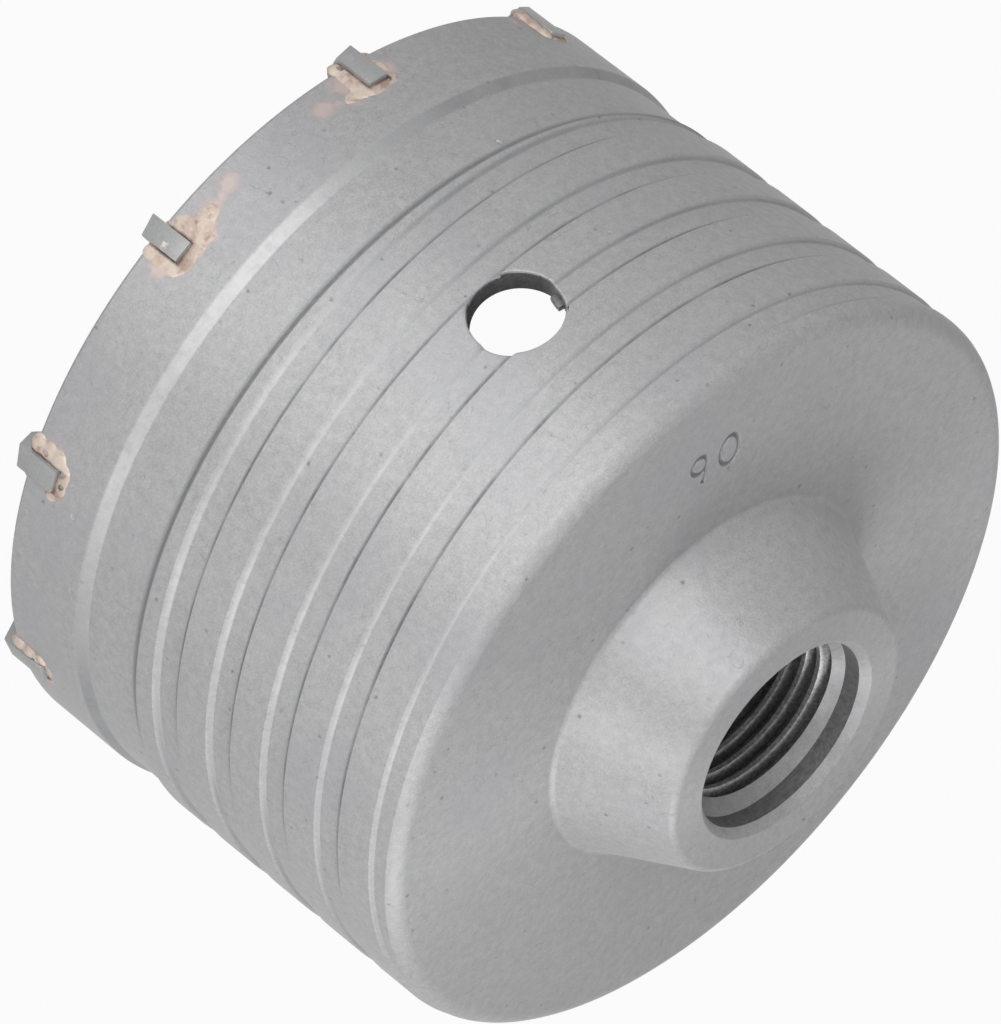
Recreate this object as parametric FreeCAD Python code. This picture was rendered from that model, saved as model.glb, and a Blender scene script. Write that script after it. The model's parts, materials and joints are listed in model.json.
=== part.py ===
# Hole saw for masonry: a one-piece steel cup with a threaded hub and brazed carbide teeth.
# Millimetres. Z runs along the tool's axis, the tooth tips stand on Z = 0 and the hub is on top.
# The side hole faces -Y, and angles are counted from +X towards +Y.
import FreeCAD, Part
import math
import os

Vector = FreeCAD.Vector

# Cup
RIM_RADIUS = 44.4
WALL = 3.0
CUP_LENGTH = 57.4
PLATE_THICKNESS = 6.0
RIM_CHAMFER = 0.7

# Turned corners: the radius that each one follows, and the number of flats along it
BACK_EDGE_RADIUS = 2.3
BACK_EDGE_FLAT_COUNT = 3
HUB_FACE_EDGE_RADIUS = 1.0
HUB_FACE_EDGE_FLAT_COUNT = 1

# Plain band, neck and grooved land of the outer wall, counted along the axis from the rim's end
BAND_LENGTH = 9.5
BAND_SLOPE = 2.3
NECK_LENGTH = 7.0
SHOULDER_SLOPE = 0.8
NECK_DEPTH = 0.65
LAND_STEP = 0.05
LAND_TAPER = 0.2

# Helical dust groove, whose rim side is sloped and whose hub side is steep
GROOVE_PITCH = 8.0
GROOVE_WIDTH = 3.6
GROOVE_DEPTH = 0.55
GROOVE_SLOPE = 1.0
GROOVE_UNDERCUT = 0.1
GROOVE_START_ANGLE = -46.0

# Side hole
SIDE_HOLE_RADIUS = 5.0
SIDE_HOLE_HEIGHT = 36.5
SIDE_HOLE_ANGLE = -90.0

# Hub and its bore
HUB_HEIGHT = 12.0
HUB_FACE_RADIUS = 16.2
HUB_BASE_RADIUS = 21.7
THREAD_RADIUS = 11.0
THREAD_PITCH = 2.0
THREAD_DEPTH_PER_PITCH = 0.5413
COUNTERBORE_CLEARANCE = 0.33
COUNTERBORE_DEPTH = 3.0
MOUTH_CHAMFER_WIDTH = 0.8
MOUTH_CHAMFER_DEPTH = 1.0
THREAD_END_CHAMFER = 0.8

# Carbide teeth
TOOTH_COUNT = 10
FIRST_TOOTH_ANGLE = 21.25
TOOTH_WIDTH = 2.5
TOOTH_SEAT_LENGTH = 4.2
TOOTH_REACH = 2.6
TOOTH_OUTER_OVERHANG = 0.6
TOOTH_INNER_OVERHANG = 0.7
TIP_RIDGE_INSET = 2.9
TIP_OUTER_RISE = 1.2
TIP_INNER_RISE = 0.45
TIP_RELIEF = 0.55

# Braze round each tooth
BRAZE_GAP = 0.15
BRAZE_BEAD_WIDTH = 1.3
BRAZE_BEAD_HEIGHT = 0.35
BRAZE_BEAD_TAPER = 0.9
BRAZE_DRIP = 1.2

# How far a cutting shape runs past the face that it cuts through
CUT_MARGIN = 2.0

# Heights along the axis
RIM_Z = TOOTH_REACH
PLATE_Z = RIM_Z + CUP_LENGTH
HUB_FACE_Z = PLATE_Z + HUB_HEIGHT
PLATE_UNDERSIDE_Z = PLATE_Z - PLATE_THICKNESS
NECK_START_Z = RIM_Z + BAND_LENGTH + BAND_SLOPE
NECK_END_Z = NECK_START_Z + NECK_LENGTH
LAND_START_Z = NECK_END_Z + SHOULDER_SLOPE
SLOT_TOP_Z = RIM_Z + TOOTH_SEAT_LENGTH + BRAZE_GAP

# Radii that follow from the driving sizes
CAVITY_RADIUS = RIM_RADIUS - WALL
NECK_RADIUS = RIM_RADIUS - NECK_DEPTH
LAND_RADIUS = RIM_RADIUS - LAND_STEP
LAND_END_RADIUS = LAND_RADIUS - LAND_TAPER
GROOVE_FLOOR_RADIUS = LAND_RADIUS - GROOVE_DEPTH
THREAD_BORE_RADIUS = THREAD_RADIUS - THREAD_DEPTH_PER_PITCH * THREAD_PITCH
COUNTERBORE_RADIUS = THREAD_RADIUS + COUNTERBORE_CLEARANCE


def corner_points(before, here, after, radius, flats):
    """Points of one corner: the corner itself, or the ends of flats along a round of this radius."""
    if flats == 0:
        return [here]
    to_before = (before - here).normalize()
    to_after = (after - here).normalize()
    half_angle = to_before.getAngle(to_after) / 2
    centre = here + (to_before + to_after).normalize() * (radius / math.sin(half_angle))
    first_spoke = here + to_before * (radius / math.tan(half_angle)) - centre
    last_spoke = here + to_after * (radius / math.tan(half_angle)) - centre
    turn = math.degrees(math.pi - 2 * half_angle)
    axis = first_spoke.cross(last_spoke)
    points = []
    for step in range(flats + 1):
        spoke = FreeCAD.Rotation(axis, turn * step / flats).multVec(first_spoke)
        points.append(centre + spoke)
    return points


def turned_face(corners):
    """Face in the XZ plane from (radius, height, corner radius, flats) corners."""
    places = [Vector(radius, 0, height) for radius, height, _, _ in corners]
    points = []
    for index, (_, _, corner_radius, flats) in enumerate(corners):
        after = places[(index + 1) % len(places)]
        points += corner_points(places[index - 1], places[index], after, corner_radius, flats)
    return Part.Face(Part.makePolygon(points + points[:1]))


def turned_cup():
    """The cup and its hub as one turned blank."""
    face_corner_radius = COUNTERBORE_RADIUS + MOUTH_CHAMFER_WIDTH
    counterbore_end = HUB_FACE_Z - COUNTERBORE_DEPTH
    thread_start = counterbore_end - (COUNTERBORE_RADIUS - THREAD_BORE_RADIUS)
    corners = [
        # Bore, from the mouth in the hub's face down to the cavity
        (face_corner_radius, HUB_FACE_Z, 0, 0),
        (COUNTERBORE_RADIUS, HUB_FACE_Z - MOUTH_CHAMFER_DEPTH, 0, 0),
        (COUNTERBORE_RADIUS, counterbore_end, 0, 0),
        (THREAD_BORE_RADIUS, thread_start, 0, 0),
        (THREAD_BORE_RADIUS, PLATE_UNDERSIDE_Z + THREAD_END_CHAMFER, 0, 0),
        (THREAD_BORE_RADIUS + THREAD_END_CHAMFER, PLATE_UNDERSIDE_Z, 0, 0),
        # Cavity
        (CAVITY_RADIUS, PLATE_UNDERSIDE_Z, 0, 0),
        (CAVITY_RADIUS, RIM_Z, 0, 0),
        # Rim, band, neck and land
        (RIM_RADIUS - RIM_CHAMFER, RIM_Z, 0, 0),
        (RIM_RADIUS, RIM_Z + RIM_CHAMFER, 0, 0),
        (RIM_RADIUS, RIM_Z + BAND_LENGTH, 0, 0),
        (NECK_RADIUS, NECK_START_Z, 0, 0),
        (NECK_RADIUS, NECK_END_Z, 0, 0),
        (LAND_RADIUS, LAND_START_Z, 0, 0),
        (LAND_END_RADIUS, PLATE_Z, BACK_EDGE_RADIUS, BACK_EDGE_FLAT_COUNT),
        # Back plate and hub
        (HUB_BASE_RADIUS, PLATE_Z, 0, 0),
        (HUB_FACE_RADIUS, HUB_FACE_Z, HUB_FACE_EDGE_RADIUS, HUB_FACE_EDGE_FLAT_COUNT),
    ]
    return turned_face(corners).revolve(Vector(0, 0, 0), Vector(0, 0, 1), 360)


def groove_cutter():
    """Dust groove swept up a helix, from the neck, round the land and out over the back edge."""
    start_z = (NECK_START_Z + NECK_END_Z - GROOVE_WIDTH) / 2
    end_z = PLATE_Z + CUT_MARGIN
    outer_radius = RIM_RADIUS + CUT_MARGIN
    slope_per_radius = GROOVE_SLOPE / GROOVE_DEPTH
    outer_low_z = start_z - slope_per_radius * (outer_radius - LAND_RADIUS)
    profile = Part.makePolygon([
        Vector(outer_radius, 0, outer_low_z),
        Vector(GROOVE_FLOOR_RADIUS, 0, start_z + GROOVE_SLOPE),
        Vector(GROOVE_FLOOR_RADIUS, 0, start_z + GROOVE_WIDTH - GROOVE_UNDERCUT),
        Vector(outer_radius, 0, start_z + GROOVE_WIDTH),
        Vector(outer_radius, 0, outer_low_z),
    ])
    path = Part.makeHelix(GROOVE_PITCH, end_z - start_z, GROOVE_FLOOR_RADIUS)
    path.translate(Vector(0, 0, start_z))
    cutter = path.makePipeShell([profile], True, True)
    cutter.rotate(Vector(0, 0, 0), Vector(0, 0, 1), GROOVE_START_ANGLE)
    return cutter


def side_hole_cutter():
    """Round hole through the wall, for pushing out the core."""
    length = WALL + 2 * CUT_MARGIN
    cutter = Part.makeCylinder(
        SIDE_HOLE_RADIUS,
        length,
        Vector(CAVITY_RADIUS - CUT_MARGIN, 0, RIM_Z + SIDE_HOLE_HEIGHT),
        Vector(1, 0, 0),
    )
    cutter.rotate(Vector(0, 0, 0), Vector(0, 0, 1), SIDE_HOLE_ANGLE)
    return cutter


def radial_prism(outline, inner_radius, outer_radius):
    """Prism along X, the radial direction, from an outline of (side, height) points."""
    points = [Vector(inner_radius, side, height) for side, height in outline]
    face = Part.Face(Part.makePolygon(points + points[:1]))
    return face.extrude(Vector(outer_radius - inner_radius, 0, 0))


def tooth_slot():
    """Slot milled into the rim for one tooth and its braze, on the +X side."""
    half = TOOTH_WIDTH / 2 + BRAZE_GAP
    low = RIM_Z - CUT_MARGIN
    outline = [(-half, low), (half, low), (half, SLOT_TOP_Z), (-half, SLOT_TOP_Z)]
    return radial_prism(outline, CAVITY_RADIUS - CUT_MARGIN, RIM_RADIUS + CUT_MARGIN)


def tooth():
    """Carbide tooth on the +X side: a block with a ridged tip, relieved behind its leading edge."""
    inner = CAVITY_RADIUS - TOOTH_INNER_OVERHANG
    outer = RIM_RADIUS + TOOTH_OUTER_OVERHANG
    half = TOOTH_WIDTH / 2
    top = RIM_Z + TOOTH_SEAT_LENGTH
    block = radial_prism([(-half, 0), (half, 0), (half, top), (-half, top)], inner, outer)
    tip = Part.makePolygon([
        Vector(inner, -half, top),
        Vector(inner, -half, TIP_INNER_RISE),
        Vector(outer - TIP_RIDGE_INSET, -half, 0),
        Vector(outer, -half, TIP_OUTER_RISE),
        Vector(outer, -half, top),
        Vector(inner, -half, top),
    ])
    return Part.Face(tip).extrude(Vector(0, TOOTH_WIDTH, TIP_RELIEF)).common(block)


def braze_outline():
    """Outline of the braze round a tooth, as (side, height) points."""
    half = TOOTH_WIDTH / 2 + BRAZE_GAP + BRAZE_BEAD_WIDTH
    top = SLOT_TOP_Z + BRAZE_BEAD_WIDTH
    drip_z = RIM_Z - BRAZE_DRIP
    return [
        (-TOOTH_WIDTH / 2, drip_z),
        (TOOTH_WIDTH / 2, drip_z),
        (half, RIM_Z),
        (half - BRAZE_BEAD_TAPER, top),
        (-half + BRAZE_BEAD_TAPER, top),
        (-half, RIM_Z),
    ]


def braze(slot, tooth_shape):
    """Braze that fills the slot round a tooth and stands as a bead on the wall and the rim."""
    bead_radius = RIM_RADIUS + BRAZE_BEAD_HEIGHT
    block = radial_prism(braze_outline(), CAVITY_RADIUS, bead_radius)
    wall = Part.makeCylinder(RIM_RADIUS, PLATE_Z - RIM_Z, Vector(0, 0, RIM_Z))
    rim_edges = [edge for edge in wall.Edges if edge.BoundBox.ZMax < RIM_Z + RIM_CHAMFER]
    wall = wall.makeChamfer(RIM_CHAMFER, rim_edges)
    return block.cut(wall.cut(slot)).cut(tooth_shape)


def turned_copy(shape, angle):
    """Copy of a shape, turned about the tool's axis."""
    copy = shape.copy()
    copy.rotate(Vector(0, 0, 0), Vector(0, 0, 1), angle)
    return copy


def save(shape, name):
    """Write one sub-part, which has to be one valid solid."""
    if len(shape.Solids) != 1 or not shape.isValid():
        raise ValueError(name + " is not one valid solid")
    shape.Solids[0].exportStep("parts/" + name + ".step")


def main():
    os.makedirs("parts", exist_ok=True)
    slot = tooth_slot()
    tooth_shape = tooth()
    braze_shape = braze(slot, tooth_shape)
    angles = [SIDE_HOLE_ANGLE + FIRST_TOOTH_ANGLE + 360 / TOOTH_COUNT * i for i in range(TOOTH_COUNT)]

    cup = turned_cup().cut(groove_cutter()).cut(side_hole_cutter())
    for angle in angles:
        cup = cup.cut(turned_copy(slot, angle))
    save(cup, "cup_body")

    for number, angle in enumerate(angles, start=1):
        save(turned_copy(tooth_shape, angle), "carbide_tooth_%02d" % number)
        save(turned_copy(braze_shape, angle), "braze_seam_%02d" % number)


main()
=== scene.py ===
# Looks of the masonry hole saw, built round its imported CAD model.
# Sizes are in millimetres up to the helpers that hand them to Blender, which works in metres.
# Z runs up the tool's axis, the tooth tips stand on Z = 0 and the side hole faces -Y.
import json
import math
import random

import bmesh
import bpy
from mathutils import Matrix, Vector


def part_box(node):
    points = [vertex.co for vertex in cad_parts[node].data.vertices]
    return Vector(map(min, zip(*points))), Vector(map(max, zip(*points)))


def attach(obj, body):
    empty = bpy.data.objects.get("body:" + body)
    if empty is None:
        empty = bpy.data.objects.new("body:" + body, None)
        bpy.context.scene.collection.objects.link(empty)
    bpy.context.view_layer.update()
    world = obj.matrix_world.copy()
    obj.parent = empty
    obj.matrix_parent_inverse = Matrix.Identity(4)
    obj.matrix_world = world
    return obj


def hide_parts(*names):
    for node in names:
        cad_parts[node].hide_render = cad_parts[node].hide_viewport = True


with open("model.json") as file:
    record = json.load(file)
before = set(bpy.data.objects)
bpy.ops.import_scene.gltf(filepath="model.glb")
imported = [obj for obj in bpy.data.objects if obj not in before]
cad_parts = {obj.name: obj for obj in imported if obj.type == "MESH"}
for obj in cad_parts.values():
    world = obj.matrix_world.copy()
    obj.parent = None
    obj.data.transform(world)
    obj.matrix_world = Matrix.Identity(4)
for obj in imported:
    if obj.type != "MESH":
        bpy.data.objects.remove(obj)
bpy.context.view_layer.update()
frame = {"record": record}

MM = 0.001

# Cup, from the frame's own box and the source's named sizes
cup_low, cup_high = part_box("cup_body")
RIM_RADIUS = round(cup_high.y / MM, 3)
RIM_Z = round(cup_low.z / MM, 3)
HUB_FACE_Z = round(cup_high.z / MM, 3)
WALL = 3.0
PLATE_Z = 60.0
PLATE_THICKNESS = 6.0
CAVITY_RADIUS = RIM_RADIUS - WALL
RIM_CHAMFER = 0.4
BAND_TOP_Z = 12.9
NECK_START_Z = 14.3
NECK_END_Z = 21.4
NECK_RADIUS = RIM_RADIUS - 0.65
LAND_START_Z = 22.2
LAND_RADIUS = RIM_RADIUS - 0.05
LAND_END_RADIUS = LAND_RADIUS - 0.2
CUP_SEGMENTS = 288

# Rounds that the lathe and the blasting leave on the turned corners
BACK_EDGE_ROUND = 2.3
HUB_FACE_ROUND = 1.0
HUB_BASE_ROUND = 0.8
CAVITY_ROUND = 1.5
RIM_ROUND = 0.12
INNER_RIM_ROUND = 0.3
BAND_TOP_ROUND = 0.25
LAND_START_ROUND = 0.12
MOUTH_ROUND = 0.1
GROOVE_LIP = 0.09
HOLE_LIP = 0.28
# Closest that points of the side hole's edge may lie when its lip is rounded
HOLE_EDGE_STEP = 0.12

# Helical dust groove
GROOVE_PITCH = 8.0
GROOVE_WIDTH = 3.6
GROOVE_DEPTH = 0.55
GROOVE_SLOPE_START = -0.25
GROOVE_SLOPE_END = 0.45
GROOVE_UNDERCUT = 0.1
GROOVE_START_ANGLE = -46.0
GROOVE_TURNS = 6
GROOVE_START_Z = 16.1
GROOVE_FLOOR_RADIUS = LAND_RADIUS - GROOVE_DEPTH

# Side hole
SIDE_HOLE_RADIUS = 5.0
SIDE_HOLE_Z = RIM_Z + 36.5
# Flake of metal on the hole's inner edge: place, size and tilt in degrees
BURR_PLACE = (-4.75, -41.75, SIDE_HOLE_Z + 0.95)
BURR_SIZE = (1.0, 0.6, 1.6)
BURR_TILT = 12

# Hub and its threaded bore
HUB_FACE_RADIUS = 16.2
HUB_BASE_RADIUS = 21.7
THREAD_RADIUS = 11.0
THREAD_PITCH = 2.0
THREAD_TURNS = 10
THREAD_LOW_Z = 50.6
THREAD_START_ANGLE = 12.0
hub_thread = [mount for mount in frame["record"]["mounts"] if mount["name"] == "hub_thread"][0]
THREAD_BORE_RADIUS = hub_thread["dims"]["r_mm"]
COUNTERBORE_RADIUS = THREAD_RADIUS + 0.33
COUNTERBORE_DEPTH = 3.0
MOUTH_CHAMFER = 0.8
MOUTH_CHAMFER_DEPTH = 1.0
THREAD_END_CHAMFER = 0.8

# Size number stamped in the back plate, its digits written outwards
STAMP_RADIUS = 33.0
STAMP_ANGLES = {"9": -96.3, "0": -103.9}
STROKE_RADIUS = 0.34
STROKE_LIFT = 0.07
# Middle and half sizes of the digits' ovals, and the ends of the nine's tail
ZERO_OVAL = (0, -0.4, 1.25, 1.95)
NINE_OVAL = (0.2, 0.15, 1.05, 1.15)
NINE_TAIL = ((1.25, 0.1), (0.4, -2.7))

# Dents in the wall: turn in degrees, height and depth, and the ball that leaves them
DENTS = (
    (-29.9, 10.2, 0.16), (-18.8, 11.9, 0.10), (-25.6, 4.2, 0.10), (-71.7, 11.9, 0.07), (-83.3, 12.2, 0.07),
    (-77.6, 17.2, 0.08), (-61.9, 18.4, 0.08), (-95.5, 45.7, 0.08), (-86.6, 48.9, 0.08), (-108.5, 37.8, 0.09),
    (-110.0, 20.4, 0.13),
)
DENT_BALL = 0.6
# Bluish speck on the wall: turn in degrees and height
SPECK = (-129.2, 48.1)
# Where the slopes of the groove and of the band's end get a painted highlight, with painted shade elsewhere round
# the saw:
# the turn of the middle in degrees, and how far from it the highlight is whole and gone
SLOPE_PAINTED_LIGHT = (-47.5, 14, 48)
BAND_PAINTED_LIGHT = (-57.5, 20, 55)

# Carbide teeth and the braze round them
TOOTH_COUNT = 10
TOOTH_STEP = 360 / TOOTH_COUNT
FIRST_TOOTH_ANGLE = -68.75
TOOTH_WIDTH = 2.5
TOOTH_TOP_Z = RIM_Z + 4.2
TOOTH_INNER = CAVITY_RADIUS - 0.7
TOOTH_OUTER = RIM_RADIUS + 0.6
TIP_RIDGE_INSET = 2.9
TIP_OUTER_RISE = 1.2
TIP_INNER_RISE = 0.45
TIP_RELIEF = 0.55
TOOTH_EDGE = 0.09
# Chipped place on the first tooth's face: beside its middle and height
NICK = (0.65, 4.57)
BRAZE_GAP = 0.15
BRAZE_GRAIN = 0.15
# How far the braze hangs below the rim beside each tooth that the photo shows
BRAZE_DRIPS = {1: 0.35, 2: 0.7, 3: 1.0, 9: 1.0, 10: 1.2}

# Lumps of braze on the wall round each tooth that the photo shows, by the tooth's number:
# place beside the tooth's middle, height, half width, half height and how proud they stand
BRAZE_LUMPS = {
    1: (
        (-4.4, 5.9, 1.6, 1.3, 0.10), (-2.8, 6.3, 1.8, 1.6, 0.12), (-2.2, 4.8, 1.3, 1.7, 0.14),
        (-1.4, 7.5, 1.4, 0.9, 0.15), (0.6, 7.6, 1.5, 0.9, 0.16), (1.9, 6.8, 1.0, 1.1, 0.15),
        (2.1, 5.0, 1.0, 1.6, 0.14), (-2.9, 7.6, 1.1, 0.8, 0.10), (2.0, 3.4, 0.9, 0.9, 0.12),
    ),
    2: (
        (-2.3, 3.1, 1.2, 1.0, 0.36), (-2.3, 4.6, 1.2, 1.1, 0.32), (-2.1, 6.1, 1.2, 1.1, 0.32),
        (-0.9, 7.4, 1.3, 0.9, 0.30), (0.7, 7.4, 1.2, 0.9, 0.25), (1.8, 6.5, 0.8, 0.9, 0.18),
    ),
    3: (
        (-1.8, 3.3, 0.9, 1.2, 0.70), (-1.8, 4.8, 0.8, 1.2, 0.75), (-1.6, 6.2, 0.8, 1.0, 0.60),
        (-0.2, 7.2, 1.1, 0.6, 0.22), (1.6, 6.6, 0.7, 0.8, 0.18), (1.8, 4.8, 0.6, 1.1, 0.15),
    ),
    9: (
        (1.7, 2.9, 0.9, 1.3, 0.85), (1.7, 4.6, 0.8, 1.4, 0.80), (1.6, 6.2, 0.8, 1.0, 0.70),
        (0.0, 7.2, 1.2, 0.6, 0.25), (-1.7, 6.2, 0.8, 0.9, 0.28), (-2.0, 4.6, 0.7, 1.2, 0.32),
    ),
    10: (
        (2.0, 4.0, 0.9, 1.5, 0.30), (2.1, 2.6, 0.8, 0.9, 0.45), (2.0, 5.6, 1.0, 1.5, 0.24),
        (0.6, 7.2, 1.6, 0.9, 0.26), (-1.3, 6.9, 1.0, 1.0, 0.22), (3.2, 6.7, 1.4, 0.9, 0.09),
        (2.0, 7.0, 1.3, 0.8, 0.16), (-1.8, 5.0, 0.8, 1.3, 0.16),
    ),
}

# Blow holes in the braze: place beside the tooth's middle, height and radius
BLOW_HOLES = {
    2: ((-2.0, 4.5, 0.36), (-1.15, 7.25, 0.38), (0.2, 7.6, 0.25)),
    3: ((-1.6, 5.6, 0.25),),
    5: ((1.9, 4.0, 0.3),),
    7: ((-1.7, 6.4, 0.3),),
    10: ((1.75, 2.9, 0.36), (-1.1, 7.1, 0.25)),
}

# Thin pinkish films of braze on the steel: tooth, place beside it, height and size class
BRAZE_FILMS = {
    0.9: (
        (1, -7.0, 5.5), (1, -3.4, 8.0), (1, -1.0, 8.0), (1, 1.5, 7.7), (2, -3.3, 6.1), (2, 0.9, 7.6),
        (3, -3.3, 3.0), (3, 1.9, 6.9), (9, 4.4, 4.1), (9, 3.0, 4.6), (10, 3.8, 7.4), (10, 5.2, 6.4), (10, 6.0, 6.0),
        (4, 2.4, 6.9), (5, -2.6, 6.6), (6, 2.7, 6.0), (7, 2.3, 7.3), (8, -2.9, 5.2),
    ),
    1.5: (
        (1, -5.4, 5.6), (1, -8.5, 5.1), (1, -3.4, 6.6), (1, 2.7, 5.4), (2, -2.3, 4.9), (3, -2.3, 4.6),
        (9, 2.0, 3.6), (9, -2.0, 5.6), (10, 6.8, 5.7), (10, 3.3, 4.6), (10, -2.1, 5.6),
        (4, -2.8, 5.5), (6, -3.4, 5.9), (8, 3.6, 5.6),
    ),
}
SLOT_TOP_Z = TOOTH_TOP_Z + BRAZE_GAP
CUT_MARGIN = 2.0


def metres(*values):
    """Millimetres to a vector in metres."""
    return Vector(values) * MM


def tooth_angle(number):
    """Angle of a tooth about the tool's axis, in radians."""
    return math.radians(FIRST_TOOTH_ANGLE + TOOTH_STEP * (number - 1))


# ---- handling of pieces ----


def select_only(*pieces):
    """Object mode with only these pieces selected, the first of them active."""
    if bpy.context.object and bpy.context.object.mode != "OBJECT":
        bpy.ops.object.mode_set(mode="OBJECT")
    bpy.ops.object.select_all(action="DESELECT")
    for piece in pieces:
        piece.select_set(True)
    bpy.context.view_layer.objects.active = pieces[0]


def open_mesh(piece, select="SELECT"):
    """Edit mode on one piece, with all of its mesh selected or none of it."""
    select_only(piece)
    bpy.ops.object.mode_set(mode="EDIT")
    bpy.ops.mesh.select_mode(type="VERT")
    bpy.ops.mesh.select_all(action=select)


def close_mesh():
    """Back to object mode, with doubles merged and the faces pointing outwards."""
    bpy.ops.mesh.select_all(action="SELECT")
    bpy.ops.mesh.remove_doubles(threshold=0.0005 * MM)
    bpy.ops.mesh.normals_make_consistent(inside=False)
    bpy.ops.object.mode_set(mode="OBJECT")


def finished(piece, name):
    """Names a piece and moves its place and turn into its mesh."""
    select_only(piece)
    bpy.ops.object.transform_apply(location=True, rotation=True, scale=True)
    piece.name = name
    piece.data.name = name
    return piece


def remove(piece):
    """Takes a used cutting shape away."""
    mesh = piece.data
    bpy.data.objects.remove(piece)
    bpy.data.meshes.remove(mesh)


def apply_modifier(piece, kind, **settings):
    """Adds one modifier and applies it."""
    select_only(piece)
    modifier = piece.modifiers.new(kind.title(), kind)
    for key, value in settings.items():
        setattr(modifier, key, value)
    bpy.ops.object.modifier_apply(modifier=modifier.name)


def cut(piece, cutter, operation="DIFFERENCE"):
    """Cuts a shape out of a piece, or joins it on, and takes the shape away."""
    apply_modifier(piece, "BOOLEAN", object=cutter, operation=operation, solver="EXACT")
    remove(cutter)


def edge_ends(edge):
    """Radius and height of both ends of an edge, in millimetres."""
    return [(math.hypot(v.co.x, v.co.y) / MM, v.co.z / MM) for v in edge.verts]


def bevel_where(test, width, segments):
    """Bevels the edges of the open mesh whose two ends both pass a test of (radius, height)."""
    bpy.ops.mesh.select_mode(type="EDGE")
    bpy.ops.mesh.select_all(action="DESELECT")
    mesh = bmesh.from_edit_mesh(bpy.context.object.data)
    for edge in mesh.edges:
        edge.select = all(test(radius, height) for radius, height in edge_ends(edge))
    bmesh.update_edit_mesh(bpy.context.object.data)
    bpy.ops.mesh.bevel(offset=width * MM, offset_type="OFFSET", segments=segments, affect="EDGES")


def bevel_ring(radius, height, width, segments):
    """Bevels one ring of edges of the open turned mesh."""
    near = 0.01
    bevel_where(lambda r, z: abs(r - radius) < near and abs(z - height) < near, width, segments)


# ---- cup ----


def turned(name, corners, segments):
    """Closed turned solid: a ring of vertices extruded and resized from corner to corner."""
    radius, height = corners[0]
    bpy.ops.object.select_all(action="DESELECT")
    bpy.ops.mesh.primitive_circle_add(
        vertices=segments, radius=radius * MM, fill_type="NOTHING", location=metres(0, 0, height)
    )
    piece = finished(bpy.context.object, name)
    open_mesh(piece)
    for next_radius, next_height in corners[1:]:
        rise = (next_height - height) * MM
        bpy.ops.mesh.extrude_edges_move(TRANSFORM_OT_translate={"value": (0, 0, rise)})
        factor = next_radius / radius
        bpy.ops.transform.resize(value=(factor, factor, 1), center_override=(0, 0, 0))
        radius, height = next_radius, next_height
    bpy.ops.mesh.select_all(action="DESELECT")
    bpy.ops.mesh.select_non_manifold()
    bpy.ops.mesh.bridge_edge_loops()
    close_mesh()
    return piece


def outline(points):
    """Closed chain of edges through points in millimetres, drawn by extruding one vertex."""
    bpy.ops.object.select_all(action="DESELECT")
    bpy.ops.mesh.primitive_plane_add(size=MM, location=metres(*points[0]))
    piece = bpy.context.object
    bpy.ops.object.transform_apply(location=True)
    open_mesh(piece)
    bpy.ops.mesh.merge(type="CENTER")
    for before, here in zip(points, points[1:]):
        step = metres(*here) - metres(*before)
        bpy.ops.mesh.extrude_vertices_move(TRANSFORM_OT_translate={"value": step})
    bpy.ops.mesh.select_all(action="SELECT")
    bpy.ops.mesh.edge_face_add()
    return piece


def helical_cutter(points, pitch, turns, steps, start_angle):
    """Outline of (radius, height) points swept up a right-hand helix, closed at both ends."""
    piece = outline([(radius, 0, height) for radius, height in points])
    bpy.ops.mesh.delete(type="ONLY_FACE")
    bpy.ops.object.mode_set(mode="OBJECT")
    apply_modifier(
        piece, "SCREW",
        axis="Z", angle=2 * math.pi, screw_offset=pitch * MM, iterations=turns,
        steps=steps, render_steps=steps, use_merge_vertices=False,
    )
    open_mesh(piece, "DESELECT")
    bpy.ops.mesh.select_non_manifold()
    bpy.ops.mesh.fill_holes(sides=len(points))
    close_mesh()
    piece.rotation_euler.z = math.radians(start_angle)
    return finished(piece, "helical_cutter")


def radial_block(inner, outer, half_width, low, high):
    """Block along X, the radial direction, from a cube that is resized."""
    bpy.ops.object.select_all(action="DESELECT")
    bpy.ops.mesh.primitive_cube_add(
        size=1, location=metres((inner + outer) / 2, 0, (low + high) / 2),
        scale=metres(outer - inner, 2 * half_width, high - low),
    )
    return finished(bpy.context.object, "radial_block")


def copy_round(piece, angle):
    """Copy of a piece with its own mesh, turned about the tool's axis."""
    select_only(piece)
    bpy.ops.object.duplicate(linked=False)
    copy = bpy.context.object
    copy.rotation_euler.z = angle
    return finished(copy, piece.name + "_copy")


def joined(pieces, name):
    """One piece from several, their meshes side by side."""
    select_only(*pieces)
    bpy.ops.object.join()
    return finished(pieces[0], name)


def tidy_hole_edge():
    """Merges the side hole's closest vertices in the open cup, on which a wide bevel would fold over."""
    bpy.ops.mesh.select_mode(type="VERT")
    bpy.ops.mesh.select_all(action="DESELECT")
    mesh = bmesh.from_edit_mesh(bpy.context.object.data)
    for vertex in mesh.verts:
        place = vertex.co / MM
        from_hole = math.hypot(place.x, place.z - SIDE_HOLE_Z)
        outside = math.hypot(place.x, place.y) > GROOVE_FLOOR_RADIUS - 0.2
        vertex.select = place.y < 0 and outside and abs(from_hole - SIDE_HOLE_RADIUS) < 0.05
    bmesh.update_edit_mesh(bpy.context.object.data)
    bpy.ops.mesh.remove_doubles(threshold=HOLE_EDGE_STEP * MM)


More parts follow.
